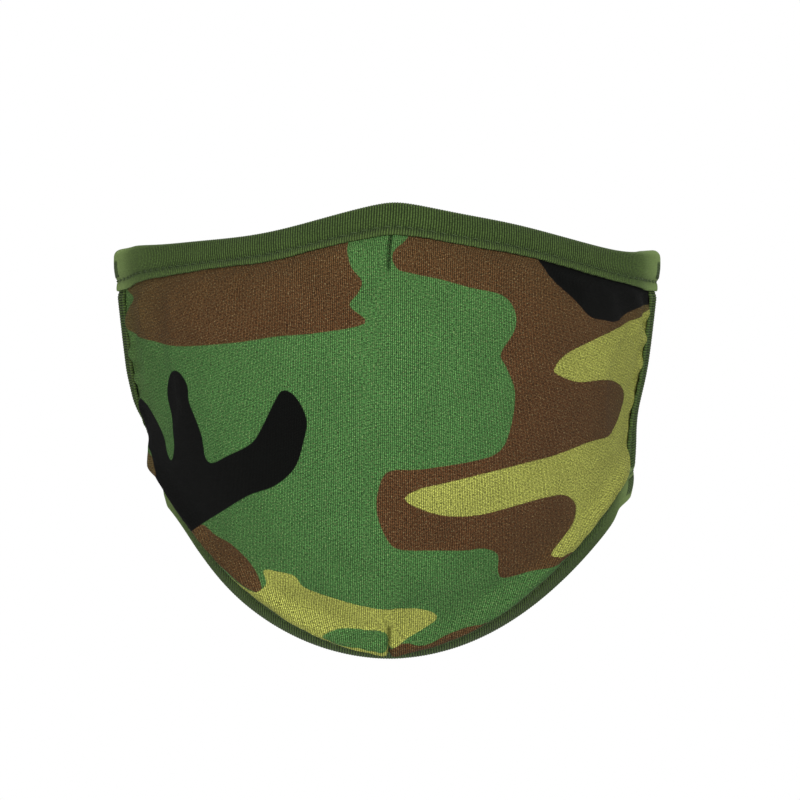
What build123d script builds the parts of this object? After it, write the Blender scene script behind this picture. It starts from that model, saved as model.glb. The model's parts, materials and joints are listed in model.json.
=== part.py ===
"""A reusable three-layer cloth face mask, as worn: a cup of knit fabric with a short dart at the nose and
one at the chin, folded knit binding round all four edges, and an ear loop at each side.

Millimetres. +Z is up and -Y is the front, so the wearer's face comes in from +Y and the wearer's left is +X.
The origin is the centre of the open back, between the two side edges.

The cup is one smooth surface, cup(u, v). u runs from -1 at the wearer's right side edge to 1 at the left
one, and v from 0 at the top edge over the nose to 1 at the bottom edge under the chin. Every fabric piece
is a thin solid that follows this surface at its own depth.
"""
from build123d import *
from math import cos, pi, radians, sin, sqrt
import os

# ---- The cup's outline and profile -------------------------------------------------------------------
TOP_HALF_WIDTH = 73.6
BOTTOM_HALF_WIDTH = 65.6
TOP_CORNER_Z = 39.3
BOTTOM_CORNER_Z = -26.0
NOSE_DEPTH = 56.0
NOSE_Z = 50.5
BULGE_DEPTH = 72.0
BULGE_Z = 5.0
CHIN_DEPTH = 33.0
CHIN_Z = -68.0
SIDE_SWEEP = radians(84)  # the rows of the cup stop short of a full quarter ellipse, so the sides flare
SIDE_TAPER = 1.15
NOSE_POINTEDNESS = 1.55  # exponent of the rows' plan shape: 2 is an ellipse, less is more pointed
MOUTH_POINTEDNESS = 1.9
TOP_EDGE_DROOP = 1.4
BOTTOM_EDGE_CURVE = 2.1
CENTRE_ROUNDING = 0.06

# ---- Fabric ------------------------------------------------------------------------------------------
PLY = 0.65  # each of the three layers
PLY_GAP = 0.08
STACK = 3 * PLY + 2 * PLY_GAP
TAPE = 0.8  # binding tape, one thickness
TAPE_GAP = 0.1  # between the tape and the layers that it covers
FOLD_REACH = STACK / 2 + TAPE_GAP + TAPE  # how far a folded tape reaches past the layers' edge
BINDING_WIDTH = 9.3  # the top and bottom bindings, which run the full width and cover the corners
SIDE_BINDING_WIDTH = 7.0
END_GAP = 0.3  # where the side bindings stop against the other two

# ---- Ear loops ---------------------------------------------------------------------------------------
LOOP_TAPE_WIDTH = 6.0
LOOP_TAPE_THICKNESS = 1.8
LOOP_INSET = 3.6  # centre of the loop's tape, in from the corner along the side edge
LOOP_STRAIGHT = 34.0
LOOP_BACK_RADIUS = 23.0
LOOP_TOE_IN = radians(8)
LOOP_CLEARANCE = 1.7  # from the bindings' ends to the line that the loop folds about
LOOP_START = 0.4  # from that line to the ends of the tape

# ---- Thread ------------------------------------------------------------------------------------------
THREAD_RADIUS = 0.22
STITCH_LENGTH = 2.3
STITCH_PITCH = 3.0
STITCH_FROM_EDGE = 2.6  # from the sewn edge of the top and bottom bindings
SIDE_STITCH_FROM_EDGE = 1.9
DART_STITCH_LENGTH = 1.5
DART_STITCH_PITCH = 2.0
NOSE_DART_LENGTH = 9.0
CHIN_DART_LENGTH = 12.0
TACK_BARS = 6
TACK_PITCH = 0.58
TACK_FROM_FOLD = 0.7
TACK_LENGTH = 5.0

TOP, BOTTOM = 0.0, 1.0
RIGHT, LEFT = -1.0, 1.0


# ---- The surface -------------------------------------------------------------------------------------
def soft_abs(t, rounding):
    """abs(t) with its corner rounded, still 1 at 1."""
    return (sqrt(t * t + rounding * rounding) - rounding) / (sqrt(1 + rounding * rounding) - rounding)


def mix(a, b, share):
    return a + (b - a) * share


def raw_cup(u, v):
    """The camouflage layer's outer face, for u from -1 to 1 and v from 0 to 1."""
    rise, drop = NOSE_Z - BULGE_Z, (BULGE_Z - CHIN_Z) * pi / 2
    bulge_v = rise / (rise + drop)
    if v < bulge_v:
        up = 1 - v / bulge_v
        centre_z = BULGE_Z + rise * up
        depth = mix(BULGE_DEPTH, NOSE_DEPTH, up * up)
    else:
        turn = (v - bulge_v) / (1 - bulge_v) * pi / 2
        centre_z = BULGE_Z - (BULGE_Z - CHIN_Z) * sin(turn)
        depth = mix(CHIN_DEPTH, BULGE_DEPTH, cos(turn))
    across = sin(u * SIDE_SWEEP)
    share = abs(across) / sin(SIDE_SWEEP)
    pointedness = mix(NOSE_POINTEDNESS, MOUTH_POINTEDNESS, v * v * (3 - 2 * v))
    plan = sqrt(max(0.0, 1 - soft_abs(across, CENTRE_ROUNDING) ** pointedness))
    plan_end = sqrt(1 - soft_abs(sin(SIDE_SWEEP), CENTRE_ROUNDING) ** pointedness)
    x = mix(TOP_HALF_WIDTH, BOTTOM_HALF_WIDTH, v**SIDE_TAPER) * across / sin(SIDE_SWEEP)
    y = -depth * (plan - plan_end) / (1 - plan_end)
    top_fall = 1 - (1 - soft_abs(share, CENTRE_ROUNDING)) ** TOP_EDGE_DROOP
    fall = mix(top_fall, share**BOTTOM_EDGE_CURVE, v)
    z = mix(centre_z, mix(TOP_CORNER_Z, BOTTOM_CORNER_Z, v), fall)
    return Vector(x, y, z)


STEP = 1e-4


def slopes(u, v):
    """How the surface runs along u and along v, per unit of each."""
    u_low, u_high = max(-1.0, u - STEP), min(1.0, u + STEP)
    v_low, v_high = max(0.0, v - STEP), min(1.0, v + STEP)
    along_u = (raw_cup(u_high, v) - raw_cup(u_low, v)) / (u_high - u_low)
    along_v = (raw_cup(u, v_high) - raw_cup(u, v_low)) / (v_high - v_low)
    return along_u, along_v


def cup(u, v, height=0.0):
    """A point on the cup, height outside it. Past an edge the surface runs straight on."""
    u_in, v_in = min(1.0, max(-1.0, u)), min(1.0, max(0.0, v))
    along_u, along_v = slopes(u_in, v_in)
    outward = along_v.cross(along_u).normalized()
    return raw_cup(u_in, v_in) + along_u * (u - u_in) + along_v * (v - v_in) + outward * height


def spread(low, high, count):
    return [low + (high - low) * i / (count - 1) for i in range(count)]


# ---- Thin solids -------------------------------------------------------------------------------------
def sheet(outer_points, inner_points):
    """A thin closed solid between two grids of points of the same shape."""
    tolerance = 0.002
    skins = [
        Face.make_surface_from_array_of_points(points, tol=tolerance, min_deg=3, max_deg=5)
        for points in (outer_points, inner_points)
    ]
    faces = list(skins)
    corners = [(0, 0), (0, -1), (-1, -1), (-1, 0)]
    for (i, j), (k, m) in zip(corners, corners[1:] + corners[:1]):
        edges = [
            edge_between(skin, points[i][j], points[k][m])
            for skin, points in zip(skins, (outer_points, inner_points))
        ]
        faces.append(Face.make_surface_from_curves(*edges))
    solid = Solid(Shell(Face.sew_faces(faces)[0]))
    return solid if solid.volume > 0 else Solid(solid.wrapped.Reversed())


def edge_between(face, start, end):
    """The face's edge that runs between two of its corners."""

    def miss(edge):
        a, b = edge @ 0, edge @ 1
        return min((a - start).length + (b - end).length, (a - end).length + (b - start).length)

    return min(face.edges(), key=miss)


def layer(top_depth):
    """One full layer of fabric whose outer face lies top_depth under the cup."""
    us, vs = spread(-1, 1, 41), spread(0, 1, 25)
    return sheet(
        [[cup(u, v, -top_depth) for v in vs] for u in us],
        [[cup(u, v, -top_depth - PLY) for v in vs] for u in us],
    )


def tape_profile(width, inside):
    """The folded tape's section as (distance in from the edge, height) pairs, from the front's sewn edge
    round the fold to the back's. inside gives the tape's inner skin, otherwise its outer one."""
    high = TAPE_GAP if inside else TAPE_GAP + TAPE
    low = -STACK - high
    radius, middle = (high - low) / 2, (high + low) / 2
    flat = spread(width, 0, 8)
    turns = [pi * i / 10 for i in range(1, 10)]
    front = [(d, high) for d in flat]
    fold = [(-radius * sin(a), middle + radius * cos(a)) for a in turns]
    back = [(d, low) for d in reversed(flat)]
    return front + fold + back


def past_side(edge_v):
    """The u at which the top or bottom binding ends, level with the side bindings' folds."""
    return 1 + FOLD_REACH / slopes(1.0, edge_v)[0].length


def edge_binding(edge_v):
    """The folded tape along the top (v = 0) or the bottom (v = 1) edge, corner to corner."""
    inward = 1 if edge_v == TOP else -1
    limit = past_side(edge_v)

    def skin(inside):
        grid = []
        for u in spread(-limit, limit, 41):
            per_mm = inward / slopes(min(1, max(-1, u)), edge_v)[1].length
            grid.append([cup(u, edge_v + d * per_mm, h) for d, h in tape_profile(BINDING_WIDTH, inside)])
        return grid

    return sheet(skin(False), skin(True))


def side_span(side):
    """The first and last v of a side binding, just clear of the top and bottom bindings."""
    covered = BINDING_WIDTH + END_GAP
    return covered / slopes(side, TOP)[1].length, 1 - covered / slopes(side, BOTTOM)[1].length


def side_binding(side):
    """The folded tape along one side edge, between the other two bindings."""

    def skin(inside):
        grid = []
        for v in spread(*side_span(side), 17):
            per_mm = -side / slopes(side, v)[0].length
            grid.append([cup(side + d * per_mm, v, h) for d, h in tape_profile(SIDE_BINDING_WIDTH, inside)])
        return grid

    return sheet(skin(False), skin(True))


# ---- Ear loops ---------------------------------------------------------------------------------------
def loop_plane(side):
    """The plane of one ear loop: its origin halfway down the fold line, x back and y up along that line."""
    reach = FOLD_REACH + LOOP_CLEARANCE
    top, bottom = (
        cup(side + side * reach / slopes(side, v)[0].length, v, -STACK / 2)
        for v in (TOP, BOTTOM)
    )
    up = (top - bottom).normalized()
    back = Vector(-side * sin(LOOP_TOE_IN), cos(LOOP_TOE_IN), 0)
    plane = Plane(origin=(top + bottom) / 2, x_dir=back - up * back.dot(up), z_dir=back.cross(up))
    return plane, (top - bottom).length


def ear_loop(side):
    """A flat band: two nearly straight runs back from the corners, joined by an arc round the ear."""
    plane, edge_length = loop_plane(side)
    half_gap = edge_length / 2 - LOOP_INSET
    reach = LOOP_STRAIGHT + LOOP_BACK_RADIUS
    path = FilletPolyline(
        (LOOP_START, half_gap),
        (reach, LOOP_BACK_RADIUS),
        (reach, -LOOP_BACK_RADIUS),
        (LOOP_START, -half_gap),
        radius=LOOP_BACK_RADIUS * 0.93,
    )
    band = trace(path, LOOP_TAPE_WIDTH)
    return extrude(plane * band, amount=LOOP_TAPE_THICKNESS / 2, both=True).solids()[0]


# ---- Thread ------------------------------------------------------------------------------------------
def stitch(start, end):
    """One stitch: a short rod of thread with tapered ends, lying from start to end."""
    along = end - start
    taper = THREAD_RADIUS * 0.6
    tip = THREAD_RADIUS - taper
    section = Polyline(
        (0, 0),
        (tip, 0),
        (THREAD_RADIUS, taper),
        (THREAD_RADIUS, along.length - taper),
        (tip, along.length),
        (0, along.length),
        close=True,
    )
    rod = Plane(origin=start, z_dir=along).location * revolve(make_face(Plane.XZ * section), Axis.Z)
    return rod.solids()[0]


def stitch_row(path, length, stitch_length, pitch):
    """Evenly spaced stitches along path(share), a function from 0 to 1 over a seam of that length."""
    count = max(2, round(length / pitch))
    half = stitch_length / length / 2
    centres = [(i + 0.5) / count for i in range(count)]
    return Compound(children=[stitch(path(c - half), path(c + half)) for c in centres])


def run_length(path, samples=40):
    points = [path(s) for s in spread(0, 1, samples)]
    return sum((b - a).length for a, b in zip(points, points[1:]))


def edge_stitches(edge_v):
    """The row that holds the top or the bottom binding, on its outer face."""
    inward = 1 if edge_v == TOP else -1

    def path(share):
        u = mix(-1, 1, share)
        v = edge_v + inward * (BINDING_WIDTH - STITCH_FROM_EDGE) / slopes(u, edge_v)[1].length
        return cup(u, v, TAPE_GAP + TAPE)

    return stitch_row(path, run_length(path), STITCH_LENGTH, STITCH_PITCH)


def side_stitches(side):
    """The row that holds one side binding."""

    start, end = side_span(side)

    def path(share):
        v = mix(start, end, share)
        u = side - side * (SIDE_BINDING_WIDTH - SIDE_STITCH_FROM_EDGE) / slopes(side, v)[0].length
        return cup(u, v, TAPE_GAP + TAPE)

    return stitch_row(path, run_length(path), STITCH_LENGTH, STITCH_PITCH)


def dart_stitches(edge_v, dart_length):
    """The closing seam of the nose or chin dart, from the binding's sewn edge to the dart's point."""
    inward = 1 if edge_v == TOP else -1
    per_mm = inward / slopes(0.0, edge_v)[1].length
    start = BINDING_WIDTH + 0.6

    def path(share):
        return cup(0.0, edge_v + (start + dart_length * share) * per_mm, 0.0)

    return stitch_row(path, dart_length, DART_STITCH_LENGTH, DART_STITCH_PITCH)


def bartack(side, edge_v):
    """A block of close thread bars at a corner of the cup, where an end of the ear loop is caught."""
    inward = 1 if edge_v == TOP else -1
    per_v = inward / slopes(side, edge_v)[1].length
    per_u = -side / slopes(side, edge_v)[0].length
    bars = []
    for i in range(TACK_BARS):
        u = side + (TACK_FROM_FOLD + i * TACK_PITCH) * per_u
        ends = [
            cup(u, edge_v + (LOOP_INSET + half * TACK_LENGTH / 2) * per_v, TAPE_GAP + TAPE)
            for half in (-1, 1)
        ]
        bars.append(stitch(*ends))
    return Compound(children=bars)


# ---- The parts ---------------------------------------------------------------------------------------
def all_parts():
    parts = {
        "outer_shell": layer(0.0),
        "filter_layer": layer(PLY + PLY_GAP),
        "inner_lining": layer(2 * (PLY + PLY_GAP)),
        "top_binding": edge_binding(TOP),
        "bottom_binding": edge_binding(BOTTOM),
        "top_binding_stitches": edge_stitches(TOP),
        "bottom_binding_stitches": edge_stitches(BOTTOM),
        "nose_dart_stitches": dart_stitches(TOP, NOSE_DART_LENGTH),
        "chin_dart_stitches": dart_stitches(BOTTOM, CHIN_DART_LENGTH),
    }
    for name, side in (("right", RIGHT), ("left", LEFT)):
        parts[f"{name}_side_binding"] = side_binding(side)
        parts[f"{name}_side_stitches"] = side_stitches(side)
        parts[f"{name}_ear_loop"] = ear_loop(side)
        parts[f"{name}_upper_bartack"] = bartack(side, TOP)
        parts[f"{name}_lower_bartack"] = bartack(side, BOTTOM)
    return parts


def main():
    os.makedirs("parts", exist_ok=True)
    for name, shape in all_parts().items():
        export_step(shape, f"parts/{name}.step")
    for name, side in (("right", RIGHT), ("left", LEFT)):
        plane, edge_length = loop_plane(side)
        print(name, "ear loop fold line: middle", plane.origin, "direction", plane.y_dir, "length", edge_length)


main()
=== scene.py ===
import json
import math

import bpy
import numpy as np
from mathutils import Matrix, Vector


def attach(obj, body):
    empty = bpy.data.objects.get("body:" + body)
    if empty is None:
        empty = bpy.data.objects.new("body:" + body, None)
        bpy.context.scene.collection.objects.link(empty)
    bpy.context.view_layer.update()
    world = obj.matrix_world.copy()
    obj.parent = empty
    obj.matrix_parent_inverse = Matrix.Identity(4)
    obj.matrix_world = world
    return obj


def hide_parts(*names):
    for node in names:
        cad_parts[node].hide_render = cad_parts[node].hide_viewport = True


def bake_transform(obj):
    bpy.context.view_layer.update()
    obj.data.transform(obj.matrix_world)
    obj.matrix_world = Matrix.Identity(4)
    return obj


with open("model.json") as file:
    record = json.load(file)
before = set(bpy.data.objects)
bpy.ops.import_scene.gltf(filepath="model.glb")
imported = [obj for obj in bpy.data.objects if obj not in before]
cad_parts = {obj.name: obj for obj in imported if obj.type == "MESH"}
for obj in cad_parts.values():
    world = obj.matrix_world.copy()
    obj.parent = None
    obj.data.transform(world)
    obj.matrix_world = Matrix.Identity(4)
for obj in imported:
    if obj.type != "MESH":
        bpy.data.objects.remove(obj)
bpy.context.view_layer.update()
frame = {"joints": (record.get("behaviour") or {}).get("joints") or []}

# A three-layer cloth face mask in a woodland print. The surface below is the CAD model's cup, in
# millimetres; meshes are made in metres. u runs across from -1 (wearer's right) to 1 (left), v runs down
# from 0 at the top edge to 1 at the bottom edge, and a height is measured outwards from the print's face.
MM = 0.001

# ---- The cup, as in the CAD model ----
TOP_HALF_WIDTH = 73.6
BOTTOM_HALF_WIDTH = 65.6
TOP_CORNER_Z = 39.3
BOTTOM_CORNER_Z = -26.0
NOSE_DEPTH = 56.0
NOSE_Z = 50.5
BULGE_DEPTH = 72.0
BULGE_Z = 5.0
CHIN_DEPTH = 33.0
CHIN_Z = -68.0
SIDE_SWEEP = math.radians(84)
SIDE_TAPER = 1.15
NOSE_POINTEDNESS = 1.55
MOUTH_POINTEDNESS = 1.9
TOP_EDGE_DROOP = 1.4
BOTTOM_EDGE_CURVE = 2.1
CENTRE_ROUNDING = 0.06

PLY = 0.65
PLY_GAP = 0.08
STACK = 3 * PLY + 2 * PLY_GAP
TAPE = 0.8
TAPE_GAP = 0.1
BINDING_WIDTH = 9.3
SIDE_BINDING_WIDTH = 7.0
FOLD_REACH = STACK / 2 + TAPE_GAP + TAPE
RIB = 0.7
LOOP_TOE_IN = math.radians(8)
LOOP_INSET = 3.6

RISE, DROP = NOSE_Z - BULGE_Z, (BULGE_Z - CHIN_Z) * math.pi / 2
BULGE_V = RISE / (RISE + DROP)
TOP, BOTTOM, RIGHT, LEFT = 0.0, 1.0, -1.0, 1.0


def smooth(low, high, t):
    t = np.clip((t - low) / (high - low), 0, 1)
    return t * t * (3 - 2 * t)


def bell(t, centre, width):
    return np.exp(-(((t - centre) / width) ** 2))


def soft_abs(t, rounding):
    return (np.sqrt(t * t + rounding * rounding) - rounding) / (math.hypot(1, rounding) - rounding)


def raw_cup(u, v):
    up = np.clip(1 - v / BULGE_V, 0, None)
    turn = np.clip((v - BULGE_V) / (1 - BULGE_V), 0, None) * math.pi / 2
    upper = v < BULGE_V
    centre_z = np.where(upper, BULGE_Z + RISE * up, BULGE_Z - (BULGE_Z - CHIN_Z) * np.sin(turn))
    depth = np.where(
        upper,
        BULGE_DEPTH + (NOSE_DEPTH - BULGE_DEPTH) * up * up,
        CHIN_DEPTH + (BULGE_DEPTH - CHIN_DEPTH) * np.cos(turn),
    )
    across = np.sin(u * SIDE_SWEEP)
    share = np.abs(across) / math.sin(SIDE_SWEEP)
    pointedness = NOSE_POINTEDNESS + (MOUTH_POINTEDNESS - NOSE_POINTEDNESS) * v * v * (3 - 2 * v)
    plan = np.sqrt(np.clip(1 - soft_abs(across, CENTRE_ROUNDING) ** pointedness, 0, None))
    plan_end = np.sqrt(1 - soft_abs(math.sin(SIDE_SWEEP), CENTRE_ROUNDING) ** pointedness)
    half_width = TOP_HALF_WIDTH + (BOTTOM_HALF_WIDTH - TOP_HALF_WIDTH) * v**SIDE_TAPER
    x = half_width * across / math.sin(SIDE_SWEEP)
    y = -depth * (plan - plan_end) / (1 - plan_end)
    top_fall = 1 - np.clip(1 - soft_abs(share, CENTRE_ROUNDING), 0, None) ** TOP_EDGE_DROOP
    fall = top_fall + (share**BOTTOM_EDGE_CURVE - top_fall) * v
    corner_z = TOP_CORNER_Z + (BOTTOM_CORNER_Z - TOP_CORNER_Z) * v
    return np.stack([x, y, centre_z + (corner_z - centre_z) * fall], -1)


# ---- How the soft cup has settled ----
# Shifts in millimetres. A sag is (centre in u, width in u, how far up).
TOP_SAGS = [(-0.30, 0.20, -1.8), (0.68, 0.20, -1.4), (0.30, 0.14, 0.6), (-0.80, 0.14, 0.7)]
NOSE_LEAN = 1.1
RIGHT_IN_BELOW, RIGHT_OUT_ABOVE = 2.6, 1.3
LOWER_RIGHT_IN, LOWER_RIGHT_UP = 2.0, 1.6
SIDE_HOLLOW = 1.1
CURL_RIGHT, PINCH_LEFT = 5.0, 1.2
TURN_UNDER = 1.8


def settle(u, v):
    """Uneven shifts of the whole stack. The largest is nearly 8 mm, at the lower right corner."""
    shift = np.zeros(np.broadcast(u, v).shape + (3,))
    near_top = 1 - smooth(0.0, 0.35, v)
    for centre, width, rise in TOP_SAGS:
        shift[..., 2] += rise * bell(u, centre, width) * near_top
    shift[..., 0] += NOSE_LEAN * bell(u, 0, 0.16) * (1 - smooth(0.0, 0.09, v))
    right_side = smooth(0.62, 1.0, -u)
    below, above = smooth(0.62, 0.95, v), 1 - smooth(0.45, 0.68, v)
    shift[..., 0] += right_side * (RIGHT_IN_BELOW * below - RIGHT_OUT_ABOVE * above)
    lower_right = bell(u, -0.72, 0.20) * smooth(0.7, 1.0, v)
    shift[..., 0] += LOWER_RIGHT_IN * lower_right
    shift[..., 2] += LOWER_RIGHT_UP * lower_right
    # the print is drawn in beside the side tapes, and the lower right corner curls in behind the cheek
    hollow = -SIDE_HOLLOW * bell(np.abs(u), 0.88, 0.07) * (1 - smooth(0.5, 0.7, v) * (u < 0))
    shift[..., 0] += np.sign(u) * hollow
    shift[..., 0] += CURL_RIGHT * smooth(0.58, 0.84, v) * smooth(0.86, 1.0, -u)
    shift[..., 0] -= PINCH_LEFT * bell(v, 0.66, 0.14) * smooth(0.55, 1.0, u)
    # the lower edge turns under
    shift[..., 1] += TURN_UNDER * smooth(0.90, 1.0, v) * (1 - 0.7 * u * u)
    return shift


def cup_point(u, v):
    return raw_cup(u, v) + settle(u, v)


def cup_frame(u, v):
    """Points, outward normals, and millimetres per unit of u and of v. Past an edge it runs straight on."""
    step = 1e-4
    u_in, v_in = np.clip(u, -1, 1), np.clip(v, 0, 1)
    u_low, u_high = np.clip(u_in - step, -1, 1), np.clip(u_in + step, -1, 1)
    v_low, v_high = np.clip(v_in - step, 0, 1), np.clip(v_in + step, 0, 1)
    along_u = (cup_point(u_high, v_in) - cup_point(u_low, v_in)) / (u_high - u_low)[..., None]
    along_v = (cup_point(u_in, v_high) - cup_point(u_in, v_low)) / (v_high - v_low)[..., None]
    normal = np.cross(along_v, along_u)
    normal /= np.linalg.norm(normal, axis=-1, keepdims=True)
    place = cup_point(u_in, v_in) + along_u * (u - u_in)[..., None] + along_v * (v - v_in)[..., None]
    return place, normal, np.linalg.norm(along_u, axis=-1), np.linalg.norm(along_v, axis=-1)


def skin(u, v, height):
    place, normal, _, _ = cup_frame(u, v)
    return place + normal * np.asarray(height)[..., None]


def running(points, axis):
    """Distance along each line of a grid of points."""
    steps = np.linalg.norm(np.diff(points, axis=axis), axis=-1)
    zero = np.zeros_like(np.take(steps, [0], axis=axis))
    return np.concatenate([zero, np.cumsum(steps, axis=axis)], axis=axis)


class Layout:
    """A grid of (u, v) with print coordinates: across from the centre line, up from the bulge's row."""

    def __init__(self, across_count, down_count):
        # closer together at the darts on the centre line and near the gathered side edges
        fine = np.linspace(-1, 1, 4001)
        closeness = 1 + 1.8 * bell(fine, 0, 0.03) + 0.4 * smooth(0.8, 1.0, np.abs(fine))
        place = np.concatenate([[0], np.cumsum((closeness[1:] + closeness[:-1]) / 2)])
        us = np.interp(np.linspace(0, place[-1], across_count), place, fine)
        vs = np.linspace(0, 1, down_count)
        self.u, self.v = np.meshgrid(us, vs, indexing="ij")
        points = raw_cup(self.u, self.v)
        self.from_right = running(points, 0)
        self.from_top = running(points, 1)
        self.to_left = self.from_right[-1:] - self.from_right
        self.to_bottom = self.from_top[:, -1:] - self.from_top
        self.across = self.from_right - self.from_right[across_count // 2][None, :]
        bulge = np.array([np.interp(BULGE_V, vs, row) for row in self.from_top])
        self.up = bulge[:, None] - self.from_top


# ---- Meshes ----
def make_object(name, vertices, faces, uv=None, marks=None):
    """A mesh object from millimetre vertices. uv is per vertex, marks are named per-vertex numbers."""
    mesh = bpy.data.meshes.new(name)
    mesh.from_pydata((np.asarray(vertices) * MM).tolist(), [], [list(f) for f in faces])
    mesh.polygons.foreach_set("use_smooth", [True] * len(mesh.polygons))
    if uv is not None:
        corner = np.zeros(len(mesh.loops), np.int32)
        mesh.loops.foreach_get("vertex_index", corner)
        layer = mesh.uv_layers.new(name="cloth")
        layer.data.foreach_set("uv", np.asarray(uv, np.float32)[corner].ravel())
    for key, values in (marks or {}).items():
        attribute = mesh.attributes.new(key, "FLOAT", "POINT")
        attribute.data.foreach_set("value", np.asarray(values, np.float32))
    mesh.update()
    thing = bpy.data.objects.new(name, mesh)
    bpy.context.scene.collection.objects.link(thing)
    return thing


def signed_volume(vertices, quads):
    a, b, c, d = (vertices[quads[:, i]] for i in range(4))
    return float((a * np.cross(b, c)).sum() + (a * np.cross(c, d)).sum())


def closed_sheet(name, outer, inner, uv, marks=None):
    """A thin closed piece between two grids of points. uv and marks are given for one grid."""
    n, m = outer.shape[:2]
    vertices = np.concatenate([outer.reshape(-1, 3), inner.reshape(-1, 3)])
    index = np.arange(n * m).reshape(n, m)
    a, b, c, d = index[:-1, :-1], index[1:, :-1], index[1:, 1:], index[:-1, 1:]
    front = np.stack([a, b, c, d], -1).reshape(-1, 4)
    back = front[:, ::-1] + n * m
    ring = np.concatenate([index[:, 0], index[-1, 1:], index[-2::-1, -1], index[0, -2:0:-1]])
    after = np.roll(ring, -1)
    rim = np.stack([after, ring, ring + n * m, after + n * m], -1)
    quads = np.concatenate([front, back, rim])
    if signed_volume(vertices, quads) < 0:
        quads = quads[:, ::-1]
    twice = np.concatenate([uv.reshape(-1, 2)] * 2)
    both = {key: np.concatenate([np.ravel(values)] * 2) for key, values in (marks or {}).items()}
    return make_object(name, vertices, quads.tolist(), twice, both)


def tube(line, radius, sides):
    """Vertices, faces and (along, round) coordinates of a closed tube along a line of points."""
    line = np.asarray(line, float)
    ahead = np.gradient(line, axis=0)
    ahead /= np.linalg.norm(ahead, axis=1, keepdims=True)
    first = np.cross(ahead[0], [0.31, 0.87, 0.39])
    first /= np.linalg.norm(first)
    radii = np.full(len(line), radius) * np.where(np.arange(len(line)) % (len(line) - 1) == 0, 0.55, 1)
    rings, side = [], first
    for point, way, size in zip(line, ahead, radii):
        side = side - way * side.dot(way)
        side /= np.linalg.norm(side)
        other = np.cross(way, side)
        turn = np.linspace(0, 2 * np.pi, sides, endpoint=False)[:, None]
        rings.append(point + size * (np.cos(turn) * side + np.sin(turn) * other))
    vertices = np.concatenate(rings)
    faces = []
    for i in range(len(line) - 1):
        for k in range(sides):
            low, high = i * sides, (i + 1) * sides
            faces.append([low + k, low + (k + 1) % sides, high + (k + 1) % sides, high + k])
    faces.append(list(range(sides))[::-1])
    faces.append([(len(line) - 1) * sides + k for k in range(sides)])
    length = running(line, 0)
    uv = np.stack([np.repeat(length, sides), np.tile(np.arange(sides) / sides, len(line))], -1)
    return vertices, faces, uv


def threads(name, lines, radius, sides=8):
    """One object made of a tube along each line."""
    vertices, faces, uvs, count = [], [], [], 0
    for line in lines:
        points, sides_of, uv = tube(line, radius, sides)
        vertices.append(points)
        uvs.append(uv)
        faces += [[i + count for i in face] for face in sides_of]
        count += len(points)
    return make_object(name, np.concatenate(vertices), faces, np.concatenate(uvs))


# ---- The print ----
# Outlines of the woodland pattern, in print millimetres: (across, up). Each is closed and smoothed.
BROWN_OUTLINES = [
    # high on the wearer's right
    [(-9, 56), (-11, 38), (-10, 30), (-7, 26), (-8, 22), (-10, 18), (-6, 14), (-19, 9), (-30, 6), (-46, 1),
     (-67, -3), (-88, -3), (-103, -1), (-101, 3), (-94, 7), (-100, 10), (-104, 15), (-107, 60)],
    # the large one across the middle and the wearer's left
    [(9, 56), (5, 40), (1, 34), (2, 30), (6, 28), (12, 25), (21, 20), (30, 16), (34, 11), (34, 6), (30, 1),
     (32, -3), (35, -10), (34, -19), (31, -24), (24, -25), (9, -24), (1, -23), (-2, -26), (-3, -34),
     (0, -42), (4, -45), (12, -47), (21, -49), (27, -50), (31, -53), (31, -58), (33, -61), (41, -61),
     (50, -61), (64, -59), (74, -56), (84, -51), (125, -50), (125, 60)],
    # beside the black hand's thumb
    [(-83, -39), (-92, -35), (-104, -33), (-108, -42), (-96, -45), (-87, -43)],
    # low on the wearer's right
    [(-67, -55), (-60, -51), (-54, -53), (-48, -54), (-42, -57), (-38, -61), (-36, -66), (-43, -65),
     (-50, -62), (-60, -58)],
    # under the chin, right of its dart and left of it
    [(0, -76), (9, -76), (17, -74), (26, -74), (36, -77), (47, -74), (60, -84), (30, -104), (0, -108)],
    [(0, -79), (-10, -80), (-20, -79), (-30, -85), (-30, -104), (0, -108)],
]
SAND_OUTLINES = [
    # two fingers from the wearer's left
    [(48, -6), (52, -3), (62, -1), (75, 1), (92, 3), (106, 5), (126, 6), (126, -46), (88, -47), (81, -52),
     (74, -55), (65, -58), (56, -59), (49, -58), (54, -54), (59, -50), (60, -45), (55, -41), (46, -40),
     (37, -40), (27, -40), (19, -39), (11, -36), (4, -31), (8, -29), (14, -29), (26, -29), (40, -29),
     (51, -29), (65, -28), (79, -28), (86, -24), (88, -18), (80, -14), (69, -12), (58, -11), (50, -8)],
    # along the lower edge on the wearer's right
    [(-72, -58), (-60, -60), (-49, -64), (-41, -66), (-37, -66), (-35, -63), (-36, -59), (-31, -58),
     (-26, -58), (-23, -61), (-13, -62), (-1, -62), (5, -63), (11, -66), (13, -69), (10, -71), (5, -73),
     (0, -75), (-1, -79), (-10, -80), (-20, -79), (-28, -84), (-48, -88), (-78, -70)],
]
ISLET_OUTLINE = [(-17, -75), (-13, -72), (-6, -70.5), (-1, -70), (-1, -76), (-10, -77), (-15, -77)]
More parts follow.
